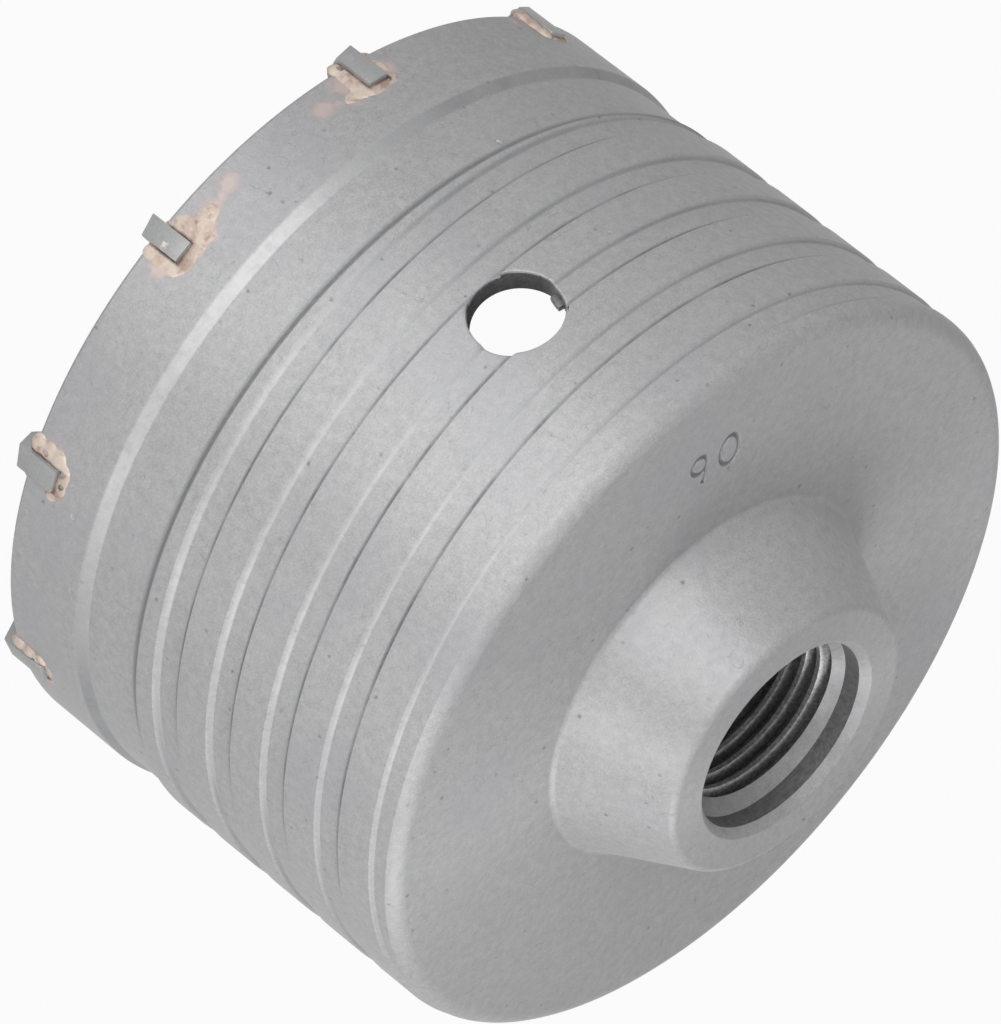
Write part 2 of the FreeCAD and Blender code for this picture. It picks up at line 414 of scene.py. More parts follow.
def soften_cut_edges():
    """Bevels the edges that the groove and the side hole leave on the land of the open cup."""
    for near_hole, width in ((False, GROOVE_LIP), (True, HOLE_LIP)):
        if near_hole:
            tidy_hole_edge()
        bpy.ops.mesh.select_mode(type="EDGE")
        bpy.ops.mesh.select_all(action="DESELECT")
        mesh = bmesh.from_edit_mesh(bpy.context.object.data)
        for edge in mesh.edges:
            middle = (edge.verts[0].co + edge.verts[1].co) / 2 / MM
            from_hole = math.hypot(middle.x, middle.z - SIDE_HOLE_Z) if middle.y < 0 else RIM_RADIUS
            on_hole = from_hole < SIDE_HOLE_RADIUS + 0.05
            ends = edge_ends(edge)
            on_land = all(
                radius > GROOVE_FLOOR_RADIUS - 0.2 and LAND_START_Z + 0.3 < height < PLATE_Z - BACK_EDGE_ROUND
                for radius, height in ends
            )
            outward = edge.is_convex and edge.calc_face_angle(0) > math.radians(16)
            edge.select = on_land and outward and on_hole == near_hole
        bmesh.update_edit_mesh(bpy.context.object.data)
        bpy.ops.mesh.bevel(
            offset=width * MM, offset_type="OFFSET", segments=2, affect="EDGES", clamp_overlap=not near_hole
        )


def cup_corners():
    """Corners of the turned cup as (radius, height), from the hub's mouth round to its face."""
    counterbore_end = HUB_FACE_Z - COUNTERBORE_DEPTH
    underside = PLATE_Z - PLATE_THICKNESS
    return [
        (COUNTERBORE_RADIUS + MOUTH_CHAMFER, HUB_FACE_Z),
        (COUNTERBORE_RADIUS, HUB_FACE_Z - MOUTH_CHAMFER_DEPTH),
        (COUNTERBORE_RADIUS, counterbore_end),
        (THREAD_BORE_RADIUS, counterbore_end - (COUNTERBORE_RADIUS - THREAD_BORE_RADIUS)),
        (THREAD_BORE_RADIUS, underside + THREAD_END_CHAMFER),
        (THREAD_BORE_RADIUS + THREAD_END_CHAMFER, underside),
        (CAVITY_RADIUS, underside),
        (CAVITY_RADIUS, RIM_Z),
        (RIM_RADIUS - RIM_CHAMFER, RIM_Z),
        (RIM_RADIUS, RIM_Z + RIM_CHAMFER),
        (RIM_RADIUS, BAND_TOP_Z),
        (NECK_RADIUS, NECK_START_Z),
        (NECK_RADIUS, NECK_END_Z),
        (LAND_RADIUS, LAND_START_Z),
        (LAND_END_RADIUS, PLATE_Z),
        (HUB_BASE_RADIUS, PLATE_Z),
        (HUB_FACE_RADIUS, HUB_FACE_Z),
    ]


def groove_outline():
    """Section of the dust groove, whose rim side is sloped and whose hub side is steep."""
    outer = RIM_RADIUS + CUT_MARGIN
    slope_per_radius = (GROOVE_SLOPE_END - GROOVE_SLOPE_START) / GROOVE_DEPTH
    return [
        (outer, GROOVE_START_Z + GROOVE_SLOPE_START - slope_per_radius * (outer - LAND_RADIUS)),
        (GROOVE_FLOOR_RADIUS, GROOVE_START_Z + GROOVE_SLOPE_END),
        (GROOVE_FLOOR_RADIUS, GROOVE_START_Z + GROOVE_WIDTH - GROOVE_UNDERCUT),
        (outer, GROOVE_START_Z + GROOVE_WIDTH),
    ]


def thread_outline():
    """Section of one turn of the 60 degree thread, wide at the bore and narrow at its root."""
    root_half = THREAD_PITCH / 16
    mouth_radius = THREAD_BORE_RADIUS - 0.35
    mouth_half = root_half + (THREAD_RADIUS - mouth_radius) * math.tan(math.radians(30))
    return [
        (mouth_radius, THREAD_LOW_Z - mouth_half),
        (THREAD_RADIUS, THREAD_LOW_Z - root_half),
        (THREAD_RADIUS, THREAD_LOW_Z + root_half),
        (mouth_radius, THREAD_LOW_Z + mouth_half),
    ]


def side_hole_cutter():
    """Round cutter through the wall at -Y."""
    length = WALL + 2 * CUT_MARGIN
    bpy.ops.object.select_all(action="DESELECT")
    bpy.ops.mesh.primitive_cylinder_add(
        vertices=96, radius=SIDE_HOLE_RADIUS * MM, depth=length * MM,
        location=metres(0, -(CAVITY_RADIUS + WALL / 2), SIDE_HOLE_Z), rotation=(math.pi / 2, 0, 0),
    )
    return finished(bpy.context.object, "side_hole_cutter")


def on_stamp(piece, digit):
    """Moves a stroke drawn round the origin to its digit's place, and makes it a round-nosed punch."""
    turn = math.radians(STAMP_ANGLES[digit])
    select_only(piece)
    bpy.ops.object.transform_apply(location=True, rotation=True, scale=True)
    for point in piece.data.splines[0].bezier_points:
        point.radius = 1
    piece.data.bevel_depth = STROKE_RADIUS * MM
    piece.data.bevel_resolution = 3
    piece.data.resolution_u = 16
    piece.data.use_fill_caps = True
    bpy.ops.object.convert(target="MESH")
    piece = bpy.context.object
    piece.location = metres(STAMP_RADIUS * math.cos(turn), STAMP_RADIUS * math.sin(turn), PLATE_Z + STROKE_LIFT)
    piece.rotation_euler.z = turn - math.pi / 2
    finished(piece, "punch")
    open_mesh(piece)
    close_mesh()
    return piece


def oval_stroke(digit, across, up, half_width, half_height):
    """Punch for a closed oval stroke."""
    bpy.ops.object.select_all(action="DESELECT")
    bpy.ops.curve.primitive_bezier_circle_add(radius=1, location=metres(across, up, 0))
    bpy.context.object.scale = (half_width * MM, half_height * MM, 1)
    return on_stamp(bpy.context.object, digit)


def tail_stroke(digit, start, end):
    """Punch for the bent tail of a nine."""
    bpy.ops.object.select_all(action="DESELECT")
    bpy.ops.curve.primitive_bezier_curve_add(radius=1)
    tail = bpy.context.object
    ends = zip(tail.data.splines[0].bezier_points, (start, end), ((0, -0.9), (0.45, 0.9)))
    for point, place, pull in ends:
        point.handle_left_type = "FREE"
        point.handle_right_type = "FREE"
        point.co = metres(*place, 0)
        point.handle_right = point.co + metres(*pull, 0)
        point.handle_left = point.co + metres(*pull, 0)
    return on_stamp(tail, digit)


def hole_burr():
    """Flake of metal that the drill left on the side hole's inner edge."""
    bpy.ops.object.select_all(action="DESELECT")
    bpy.ops.mesh.primitive_cube_add(
        size=1, location=metres(*BURR_PLACE),
        scale=metres(*BURR_SIZE), rotation=(0, math.radians(BURR_TILT), 0),
    )
    piece = finished(bpy.context.object, "hole_burr")
    open_mesh(piece)
    bpy.ops.mesh.subdivide(number_cuts=2, smoothness=0.3)
    bpy.ops.transform.vertex_random(offset=0.12 * MM, seed=4)
    close_mesh()
    return piece


def wall_radius(height):
    """Radius of the turned wall at a height, between the corners of its outline."""
    corners = [corner for corner in cup_corners() if corner[0] > RIM_RADIUS - 1 and corner[1] > RIM_Z]
    for (low_radius, low), (high_radius, high) in zip(corners, corners[1:]):
        if low <= height <= high:
            return low_radius + (high_radius - low_radius) * (height - low) / (high - low)
    return LAND_RADIUS


def dent_cutters():
    """Balls that leave the shallow dents which the photo shows in the wall."""
    balls = []
    for angle, height, depth in DENTS:
        turn = math.radians(angle)
        radius = wall_radius(height) + DENT_BALL - depth
        bpy.ops.object.select_all(action="DESELECT")
        bpy.ops.mesh.primitive_ico_sphere_add(
            subdivisions=3, radius=DENT_BALL * MM, rotation=(0, 0, turn),
            location=metres(radius * math.cos(turn), radius * math.sin(turn), height),
        )
        ball = bpy.context.object
        open_mesh(ball)
        bpy.ops.transform.vertex_random(offset=0.09 * MM, seed=len(balls))
        bpy.ops.object.mode_set(mode="OBJECT")
        balls.append(ball)
    return joined(balls, "dent_cutters")


def make_cup():
    """Turned, grooved, threaded, drilled, slotted and stamped cup, replacing its CAD node."""
    cup = turned("blasted_cup", cup_corners(), CUP_SEGMENTS)
    open_mesh(cup)
    cone_turn = math.pi / 2 - math.atan2(HUB_BASE_RADIUS - HUB_FACE_RADIUS, HUB_FACE_Z - PLATE_Z)
    bevel_ring(LAND_END_RADIUS, PLATE_Z, BACK_EDGE_ROUND, 7)
    bevel_ring(HUB_FACE_RADIUS, HUB_FACE_Z, HUB_FACE_ROUND * math.tan(cone_turn / 2), 4)
    bevel_ring(HUB_BASE_RADIUS, PLATE_Z, HUB_BASE_ROUND * math.tan(cone_turn / 2), 4)
    bevel_ring(CAVITY_RADIUS, PLATE_Z - PLATE_THICKNESS, CAVITY_ROUND, 3)
    bevel_ring(CAVITY_RADIUS, RIM_Z, INNER_RIM_ROUND, 2)
    bevel_ring(RIM_RADIUS, RIM_Z + RIM_CHAMFER, RIM_ROUND, 2)
    bevel_ring(RIM_RADIUS, BAND_TOP_Z, BAND_TOP_ROUND, 2)
    bevel_ring(LAND_RADIUS, LAND_START_Z, LAND_START_ROUND, 2)
    bevel_ring(COUNTERBORE_RADIUS + MOUTH_CHAMFER, HUB_FACE_Z, MOUTH_ROUND, 2)
    close_mesh()

    cut(cup, helical_cutter(groove_outline(), GROOVE_PITCH, GROOVE_TURNS, CUP_SEGMENTS, GROOVE_START_ANGLE))
    thread_steps = CUP_SEGMENTS // 2
    cut(cup, helical_cutter(thread_outline(), THREAD_PITCH, THREAD_TURNS, thread_steps, THREAD_START_ANGLE))
    cut(cup, side_hole_cutter())
    cut(cup, hole_burr(), "UNION")
    slot = radial_block(
        CAVITY_RADIUS - CUT_MARGIN, RIM_RADIUS + CUT_MARGIN, TOOTH_WIDTH / 2 + BRAZE_GAP,
        RIM_Z - CUT_MARGIN, SLOT_TOP_Z,
    )
    slots = [copy_round(slot, tooth_angle(number)) for number in range(1, TOOTH_COUNT + 1)]
    remove(slot)
    cut(cup, joined(slots, "slots"))
    cut(cup, oval_stroke("0", *ZERO_OVAL))
    cut(cup, oval_stroke("9", *NINE_OVAL))
    cut(cup, tail_stroke("9", *NINE_TAIL))
    cut(cup, dent_cutters())
    open_mesh(cup)
    soften_cut_edges()
    open_mesh(cup)
    bpy.ops.mesh.delete_loose()
    open_mesh(cup)
    close_mesh()
    bpy.ops.object.shade_smooth_by_angle(angle=math.radians(24))
    apply_modifier(cup, "WEIGHTED_NORMAL", keep_sharp=True)
    return cup


def cup_finish(face):
    """Number of a face's finish: 0 blasted, 1 tapped, 2 drilled."""
    middle = face.center / MM
    radius = math.hypot(middle.x, middle.y)
    from_hole = math.hypot(middle.x, middle.z - SIDE_HOLE_Z)
    if middle.y < 0 and from_hole < SIDE_HOLE_RADIUS + 0.02 and radius > CAVITY_RADIUS - 1:
        on_burr = middle.x < 0 and radius < CAVITY_RADIUS + 0.75
        return 0 if on_burr else 2
    if radius > COUNTERBORE_RADIUS + 0.02 or middle.z < PLATE_Z - PLATE_THICKNESS:
        return 0
    if radius > COUNTERBORE_RADIUS - 0.02:
        return 2
    above_thread = HUB_FACE_Z - COUNTERBORE_DEPTH - (COUNTERBORE_RADIUS - THREAD_BORE_RADIUS)
    return 0 if middle.z > above_thread + 0.02 else 1


# ---- teeth and braze ----


def make_tooth():
    """Carbide tooth on the +X side: a block whose tip is ground to a ridge and relieved."""
    half = TOOTH_WIDTH / 2
    tooth = radial_block(TOOTH_INNER, TOOTH_OUTER, half, 0, TOOTH_TOP_Z)
    ridge_x = TOOTH_OUTER - TIP_RIDGE_INSET
    along = Vector((0, TOOTH_WIDTH, TIP_RELIEF))
    facets = [
        ((ridge_x, -half, 0), (TOOTH_OUTER, -half, TIP_OUTER_RISE)),
        ((TOOTH_INNER, -half, TIP_INNER_RISE), (ridge_x, -half, 0)),
    ]
    for start, end in facets:
        normal = (Vector(end) - Vector(start)).cross(along).normalized()
        open_mesh(tooth)
        bpy.ops.mesh.bisect(
            plane_co=metres(*start), plane_no=normal, use_fill=True, clear_inner=normal.z > 0,
            clear_outer=normal.z < 0,
        )
        close_mesh()
    open_mesh(tooth)
    bpy.ops.mesh.bevel(offset=TOOTH_EDGE * MM, segments=2, affect="EDGES")
    close_mesh()
    bpy.ops.object.shade_smooth_by_angle(angle=math.radians(30))
    return tooth


def beside_tooth(side, height, radius):
    """Place on a round wall beside the tooth on the +X side, and its angle."""
    turn = side / RIM_RADIUS
    return metres(radius * math.cos(turn), radius * math.sin(turn), height), turn


def braze_lump(side, height, width, tall, proud):
    """Flattened blob that lies on the wall beside the tooth on the +X side."""
    place, turn = beside_tooth(side, height, RIM_RADIUS - 0.1)
    bpy.ops.object.select_all(action="DESELECT")
    bpy.ops.mesh.primitive_uv_sphere_add(
        segments=20, ring_count=12, radius=1, location=place,
        rotation=(0, 0, turn), scale=metres(0.75 * proud + 0.12, 1.1 * width, 1.1 * tall),
    )
    return finished(bpy.context.object, "braze_lump")


def blow_hole(side, height, radius):
    """Small round pit where gas left the braze."""
    place, turn = beside_tooth(side, height, RIM_RADIUS + 0.2)
    bpy.ops.object.select_all(action="DESELECT")
    bpy.ops.mesh.primitive_ico_sphere_add(
        subdivisions=3, radius=radius * MM, location=place, rotation=(0, 0, turn)
    )
    open_mesh(bpy.context.object)
    bpy.ops.transform.resize(value=(1.6, 1, 1.2), orient_type="LOCAL")
    bpy.ops.object.mode_set(mode="OBJECT")
    return finished(bpy.context.object, "blow_hole")


def lumps_by_chance(number):
    """Bead of lumps round a tooth that the photo doesn't show."""
    chance = random.Random(40 + number)
    bead = TOOTH_WIDTH / 2 + 0.6
    places = [(side, height) for side in (-bead, bead) for height in (3.2, 4.6, 6.0)]
    places += [(-1.2, TOOTH_TOP_Z + 0.45), (0.0, TOOTH_TOP_Z + 0.5), (1.2, TOOTH_TOP_Z + 0.45)]
    wide_side = chance.choice((-1, 1))
    lumps = []
    for side, height in places:
        spread = 1.35 if side * wide_side > 1 else 1.0
        lumps.append((
            side * spread + chance.uniform(-0.2, 0.2), height + chance.uniform(-0.3, 0.3),
            chance.uniform(0.7, 1.1) * spread, chance.uniform(0.7, 1.1), chance.uniform(0.18, 0.42),
        ))
    return lumps


def make_braze(number):
    """Braze of one tooth: the slot's filling with lumps round it, remeshed into one and pitted."""
    half = TOOTH_WIDTH / 2 + BRAZE_GAP
    drip = BRAZE_DRIPS.get(number) or random.Random(90 + number).uniform(0.4, 1.1)
    low = RIM_Z - drip
    foot = half + 0.9 * drip
    filling = outline([
        (CAVITY_RADIUS + 0.05, -half, low + 0.3),
        (CAVITY_RADIUS + 0.05, half, low + 0.3),
        (CAVITY_RADIUS + 0.05, foot, RIM_Z + 0.1),
        (CAVITY_RADIUS + 0.05, half, SLOT_TOP_Z),
        (CAVITY_RADIUS + 0.05, -half, SLOT_TOP_Z),
        (CAVITY_RADIUS + 0.05, -foot, RIM_Z + 0.1),
    ])
    bpy.ops.mesh.extrude_region_move(TRANSFORM_OT_translate={"value": metres(WALL - 0.1, 0, 0)})
    close_mesh()
    lumps = BRAZE_LUMPS.get(number) or lumps_by_chance(number)
    braze = joined([filling] + [braze_lump(*lump) for lump in lumps], "braze_bead_%02d" % number)
    apply_modifier(braze, "REMESH", mode="VOXEL", voxel_size=BRAZE_GRAIN * MM)
    apply_modifier(braze, "SMOOTH", factor=0.5, iterations=8)
    for pit in BLOW_HOLES.get(number, ()):
        cut(braze, blow_hole(*pit))
    braze.rotation_euler.z = tooth_angle(number)
    finished(braze, "braze_bead_%02d" % number)
    clouds = bpy.data.textures.new("braze_lumps", "CLOUDS")
    clouds.noise_scale = 0.6 * MM
    apply_modifier(braze, "DISPLACE", texture=clouds, texture_coords="LOCAL", strength=0.1 * MM, mid_level=0.5)
    room = radial_block(
        TOOTH_INNER - 1, TOOTH_OUTER + 1, TOOTH_WIDTH / 2 + 0.06, -1, TOOTH_TOP_Z + 0.06
    )
    turned_room = copy_round(room, tooth_angle(number))
    remove(room)
    cut(braze, turned_room)
    open_mesh(braze)
    close_mesh()
    bpy.ops.object.shade_smooth_by_angle(angle=math.radians(50))
    return braze


# ---- materials ----


def srgb(code):
    """Linear colour of an sRGB hex value."""
    channels = [int(code[place:place + 2], 16) / 255 for place in (1, 3, 5)]
    linear = [c / 12.92 if c <= 0.04045 else ((c + 0.055) / 1.055) ** 2.4 for c in channels]
    return linear + [1.0]


def add_node(tree, kind, inputs=(), **settings):
    """Adds a node with its settings. Its inputs are filled with values, or linked to sockets or nodes."""
    node = tree.nodes.new("ShaderNode" + kind)
    for key, value in settings.items():
        setattr(node, key, value)
    for key, value in inputs.items() if isinstance(inputs, dict) else enumerate(inputs):
        if isinstance(value, bpy.types.Node):
            value = next(output for output in value.outputs if output.enabled)
        if isinstance(value, bpy.types.NodeSocket):
            tree.links.new(value, node.inputs[key])
        else:
            node.inputs[key].default_value = value
    return node


def per_mm(size):
    """Texture scale at which a pattern's features are this many millimetres."""
    return 1 / (size * MM)


def new_material(name):
    """Material with an empty tree and a shader on its output."""
    material = bpy.data.materials.new(name)
    material.use_nodes = True
    tree = material.node_tree
    tree.nodes.clear()
    shader = add_node(tree, "BsdfPrincipled")
    add_node(tree, "OutputMaterial", (shader,))
    return material, tree, shader


def turned_place(tree, place):
    """Radius and height in millimetres and angle in radians of a point about the tool's axis."""
    parts = add_node(tree, "SeparateXYZ", (place,)).outputs
    flat = add_node(tree, "VectorMath", (place, (1, 1, 0)), operation="MULTIPLY")
    length = add_node(tree, "VectorMath", (flat,), operation="LENGTH")
    radius = add_node(tree, "Math", (length, MM), operation="DIVIDE")
    height = add_node(tree, "Math", (parts[2], MM), operation="DIVIDE")
    return radius, height, add_node(tree, "Math", (parts[1], parts[0]), operation="ARCTAN2")


def nearest_of(tree, place, spots):
    """Distance in millimetres to the nearest of some points."""
    nearest = None
    for spot in spots:
        away = add_node(tree, "VectorMath", (place, spot), operation="DISTANCE")
        if nearest:
            away = add_node(tree, "Math", (nearest, away, 0.4 * MM), operation="SMOOTH_MIN")
        nearest = away
    return add_node(tree, "Math", (nearest, MM), operation="DIVIDE")


def all_of(tree, *masks):
    """Mask of where several masks, or shares of one, hold together."""
    result = masks[0]
    for mask in masks[1:]:
        result = add_node(tree, "Math", (result, mask), operation="MULTIPLY")
    return result


def film_points(films):
    """Places on the wall of films given as (tooth, place beside it, height)."""
    spots = []
    for number, side, height in films:
        place, turn = beside_tooth(side, height, RIM_RADIUS)
        place.rotate(Matrix.Rotation(tooth_angle(number), 3, "Z"))
        spots.append(place)
    return spots


def groove_painted_shading(tree, radius, height, angle):
    """Masks of the groove's corner, where shade is painted, and of its slope, where a painted highlight and painted
    shade go.
    """
    turns = add_node(tree, "Math", (height, GROOVE_START_Z + GROOVE_WIDTH - GROOVE_UNDERCUT), operation="SUBTRACT")
    turns = add_node(tree, "Math", (turns, GROOVE_PITCH), operation="DIVIDE")
    lead = add_node(tree, "Math", (angle, math.radians(GROOVE_START_ANGLE)), operation="SUBTRACT")
    turns = add_node(tree, "Math", (lead, -1 / (2 * math.pi), turns), operation="MULTIPLY_ADD")
    from_corner = add_node(tree, "Math", (turns, 0.5), operation="PINGPONG")
    from_corner = add_node(tree, "Math", (from_corner, GROOVE_PITCH), operation="MULTIPLY")
    taper = (LAND_RADIUS - LAND_END_RADIUS) / (PLATE_Z - LAND_START_Z)
    land = add_node(tree, "Math", (height, -taper, LAND_RADIUS + taper * LAND_START_Z), operation="MULTIPLY_ADD")
    depth = add_node(tree, "Math", (land, radius), operation="SUBTRACT")
    above_neck = add_node(tree, "MapRange", (height, LAND_START_Z - 0.1, LAND_START_Z + 0.4))
    edge_start = PLATE_Z - BACK_EDGE_ROUND
    below_edge = add_node(tree, "MapRange", (height, edge_start - 0.9, edge_start, 1, 0))
    on_land = all_of(tree, above_neck, below_edge)
    corner = all_of(
        tree, on_land, add_node(tree, "MapRange", (from_corner, 0.45, 0.75, 1, 0)),
        add_node(tree, "MapRange", (depth, 0, 0.1)),
    )
    slope_end = GROOVE_WIDTH - GROOVE_UNDERCUT - GROOVE_SLOPE_END
    slope = all_of(
        tree, on_land, add_node(tree, "MapRange", (from_corner, slope_end - 0.1, slope_end + 0.1)),
        add_node(tree, "MapRange", (depth, 0.1, 0.32)),
    )
    return corner, slope


def blasted_steel():
    """Turned steel, shot blasted: even matte grey with a fine grain, painted shade in its corners, painted light
    and shade on its slopes, films of braze.
    """
    material, tree, shader = new_material("blasted_steel_cup")
    place = add_node(tree, "TexCoord").outputs["Object"]
    grain = add_node(tree, "TexNoise", {"Vector": place, "Scale": per_mm(0.2), "Detail": 2, "Roughness": 0.6})
    mottle = add_node(tree, "TexNoise", {"Vector": place, "Scale": per_mm(0.9), "Detail": 3, "Roughness": 0.6})
    cloud = add_node(tree, "TexNoise", {"Vector": place, "Scale": per_mm(14), "Detail": 2})
    shading_patches = add_node(tree, "TexNoise", {"Vector": place, "Scale": per_mm(6), "Detail": 2})
    radius, height, angle = turned_place(tree, place)

    soft = add_node(tree, "MapRange", (mottle, 0.3, 0.7, 0, 0.4))
    fine = add_node(tree, "MapRange", (grain, 0.3, 0.7, 0, 0.6))
    shade = add_node(tree, "Math", (soft, fine), operation="ADD")
    colour = add_node(tree, "Mix", {0: shade, 6: srgb("#9B9B9C"), 7: srgb("#BEBEBF")}, data_type="RGBA")
    # Share and colour of each layer over that grey, from the lowest up
    layers = [(add_node(tree, "MapRange", (cloud, 0.48, 0.68, 0, 0.35)), srgb("#A8A8AC"))]

    # Small dark pits of uneven outline, in some cells of a 2.2 mm pattern
    wobble = add_node(tree, "TexNoise", {"Vector": place, "Scale": per_mm(0.35), "Detail": 1})
    bent = add_node(
        tree, "VectorMath", (wobble.outputs["Color"], (0.3 * MM,) * 3, place), operation="MULTIPLY_ADD"
    )
    cells = add_node(tree, "TexVoronoi", {"Vector": bent, "Scale": per_mm(2.2)})
    lot = add_node(tree, "SeparateColor", (cells.outputs["Color"],))
    pit = all_of(
        tree, add_node(tree, "MapRange", (cells, 0.03, 0.14, 1, 0)), add_node(tree, "MapRange", (lot, 0.4, 0.85)),
    )
    layers.append((all_of(tree, pit, 0.75), srgb("#717275")))

    # Faint curved marks, where a coarse noise passes its middle value
    marks = add_node(tree, "TexNoise", {"Vector": place, "Scale": per_mm(4.5), "Detail": 3, "Roughness": 0.55})
    patches = add_node(tree, "TexNoise", {"Vector": place, "Scale": per_mm(2.4), "Detail": 1})
    off_line = add_node(tree, "Math", (marks, 0.5), operation="SUBTRACT")
    off_line = add_node(tree, "Math", (off_line,), operation="ABSOLUTE")
    mark = all_of(
        tree, add_node(tree, "MapRange", (off_line, 0.002, 0.012, 1, 0)),
        add_node(tree, "MapRange", (patches, 0.58, 0.66)),
    )
    layers.append((all_of(tree, mark, 0.3), srgb("#86878A")))

    # Slopes of the groove and of the band's end: painted highlight on the lit side of the saw, painted shade on the
    # rest
    corner, slope = groove_painted_shading(tree, radius, height, angle)
    band_end = all_of(
        tree, add_node(tree, "MapRange", (height, BAND_TOP_Z - 0.1, BAND_TOP_Z + 0.15)),
        add_node(tree, "MapRange", (height, NECK_START_Z - 0.15, NECK_START_Z + 0.1, 1, 0)),
    )
    shading_mottle = add_node(tree, "MapRange", (mottle, 0.25, 0.55, 0.55, 1))
    for mask, (middle_turn, whole, none) in ((slope, SLOPE_PAINTED_LIGHT), (band_end, BAND_PAINTED_LIGHT)):
        turned = add_node(tree, "Math", (angle, math.radians(middle_turn)), operation="SUBTRACT")
        turned = add_node(tree, "Math", (turned,), operation="ABSOLUTE")
        # Painted highlight near the middle turn, fading to painted shade away from it
        lit_side = add_node(tree, "MapRange", (turned, math.radians(whole), math.radians(none), 1, 0))
        painted_light_and_shade = add_node(tree, "Mix", {0: lit_side, 6: srgb("#78797C"), 7: srgb("#CACACA")}, data_type="RGBA")
        share = all_of(tree, mask, shading_mottle, add_node(tree, "MapRange", (shading_patches, 0.35, 0.65, 0.4, 0.65)))
        layers.append((share, painted_light_and_shade))

    # Painted shade in the groove's corner and at the end of the neck, and the stamped digits made darker
    # Painted shade along the groove's corner
    corner = all_of(tree, corner, shading_mottle, add_node(tree, "MapRange", (shading_patches, 0.4, 0.6, 0.4, 0.8)))
    layers.append((corner, srgb("#5C5D60")))
    # Painted shade on the neck's end, whose step faces the rim
    step = all_of(
        tree, add_node(tree, "MapRange", (height, NECK_END_Z - 0.5, NECK_END_Z)),
        add_node(tree, "MapRange", (height, LAND_START_Z - 0.2, LAND_START_Z + 0.1, 1, 0)), shading_mottle, 0.7,
    )
    layers.append((step, srgb("#6C6D6F")))
    stamped = all_of(
        tree, add_node(tree, "MapRange", (height, PLATE_Z - 0.2, PLATE_Z - 0.03, 1, 0)),
        add_node(tree, "MapRange", (height, PLATE_Z - 1, PLATE_Z - 0.9)),
        add_node(tree, "MapRange", (radius, STAMP_RADIUS + 3, STAMP_RADIUS + 4, 1, 0)), 0.6,
    )
    layers.append((stamped, srgb("#636366")))

    # Films of braze on the band, peach in the middle and pinkish at the edge
    ragged = add_node(tree, "TexNoise", {"Vector": place, "Scale": per_mm(1.1), "Detail": 3, "Roughness": 0.6})
    film = None
    for size, films in BRAZE_FILMS.items():
        inside = add_node(tree, "Math", (size, nearest_of(tree, place, film_points(films))), operation="SUBTRACT")
        film = add_node(tree, "Math", (film, inside), operation="MAXIMUM") if film else inside
    film = add_node(tree, "Math", (ragged, 2.2, film), operation="MULTIPLY_ADD")
    halo = add_node(tree, "MapRange", (film, 0.6, 1.6, 0, 0.55))
    layers.append((halo, srgb("#B5AAAC")))
    middle = add_node(tree, "MapRange", (film, 1.3, 2.0, 0, 0.85))
    layers.append((middle, srgb("#CBBBB5")))

    # One bluish speck on the land
    turn, speck_height = math.radians(SPECK[0]), SPECK[1]
    speck = metres(LAND_RADIUS * math.cos(turn), LAND_RADIUS * math.sin(turn), speck_height)
    speck = add_node(tree, "MapRange", (nearest_of(tree, place, [speck]), 0.25, 0.55, 0.8, 0))
    layers.append((speck, srgb("#66748A")))

    for share, tint in layers:
        colour = add_node(tree, "Mix", {0: share, 6: colour, 7: tint}, data_type="RGBA")

    tree.links.new(colour.outputs[2], shader.inputs["Base Color"])
    shader.inputs["Metallic"].default_value = 0.3
    # The lathe's fine lines run round the axis and draw the sheen out along it
    shader.inputs["Anisotropic"].default_value = 0.75
    shader.inputs["Anisotropic Rotation"].default_value = 0.25
    round_axis = add_node(tree, "Tangent", direction_type="RADIAL", axis="Z")
    tree.links.new(round_axis.outputs[0], shader.inputs["Tangent"])
    rough = add_node(tree, "MapRange", (grain, 0.3, 0.7, 0.46, 0.62))
    tree.links.new(rough.outputs[0], shader.inputs["Roughness"])
    surface = add_node(tree, "Math", (grain, 0.6), operation="MULTIPLY")
    for part, share in ((mottle, 1.1), (pit, -1.2), (mark, -0.6)):
        surface = add_node(tree, "Math", (part, share, surface), operation="MULTIPLY_ADD")
    bump = add_node(tree, "Bump", {"Height": surface, "Strength": 0.55, "Distance": 0.05 * MM})
    tree.links.new(bump.outputs[0], shader.inputs["Normal"])
    return material


def cut_thread():
    """Steel as the tap left it: painted shade in the thread's valleys and a painted highlight on its crests, over a
    rough grain.
    """
    material, tree, shader = new_material("cut_thread_steel")
    place = add_node(tree, "TexCoord").outputs["Object"]
    grain = add_node(tree, "TexNoise", {"Vector": place, "Scale": per_mm(0.3), "Detail": 3})
    radius = turned_place(tree, place)[0]
    # Painted shade in the valleys and a painted highlight on the crests
    crest_highlight = add_node(tree, "MapRange", (radius, THREAD_BORE_RADIUS + 0.04, THREAD_BORE_RADIUS + 0.4, 1, 0))
    rough = add_node(tree, "MapRange", (grain, 0.35, 0.65))
    dark = add_node(tree, "Mix", {0: rough, 6: srgb("#6A6A6C"), 7: srgb("#8A8A8B")}, data_type="RGBA")
    light = add_node(tree, "Mix", {0: rough, 6: srgb("#9A9A9A"), 7: srgb("#C8C8C7")}, data_type="RGBA")
    colour = add_node(tree, "Mix", {0: crest_highlight, 6: dark, 7: light}, data_type="RGBA")
    tree.links.new(colour.outputs[2], shader.inputs["Base Color"])
    shader.inputs["Metallic"].default_value = 0.65
    sheen = add_node(tree, "MapRange", (grain, 0.3, 0.7, 0.32, 0.5))
    tree.links.new(sheen.outputs[0], shader.inputs["Roughness"])
    bump = add_node(tree, "Bump", {"Height": grain, "Strength": 0.5, "Distance": 0.05 * MM})
    tree.links.new(bump.outputs[0], shader.inputs["Normal"])
    return material


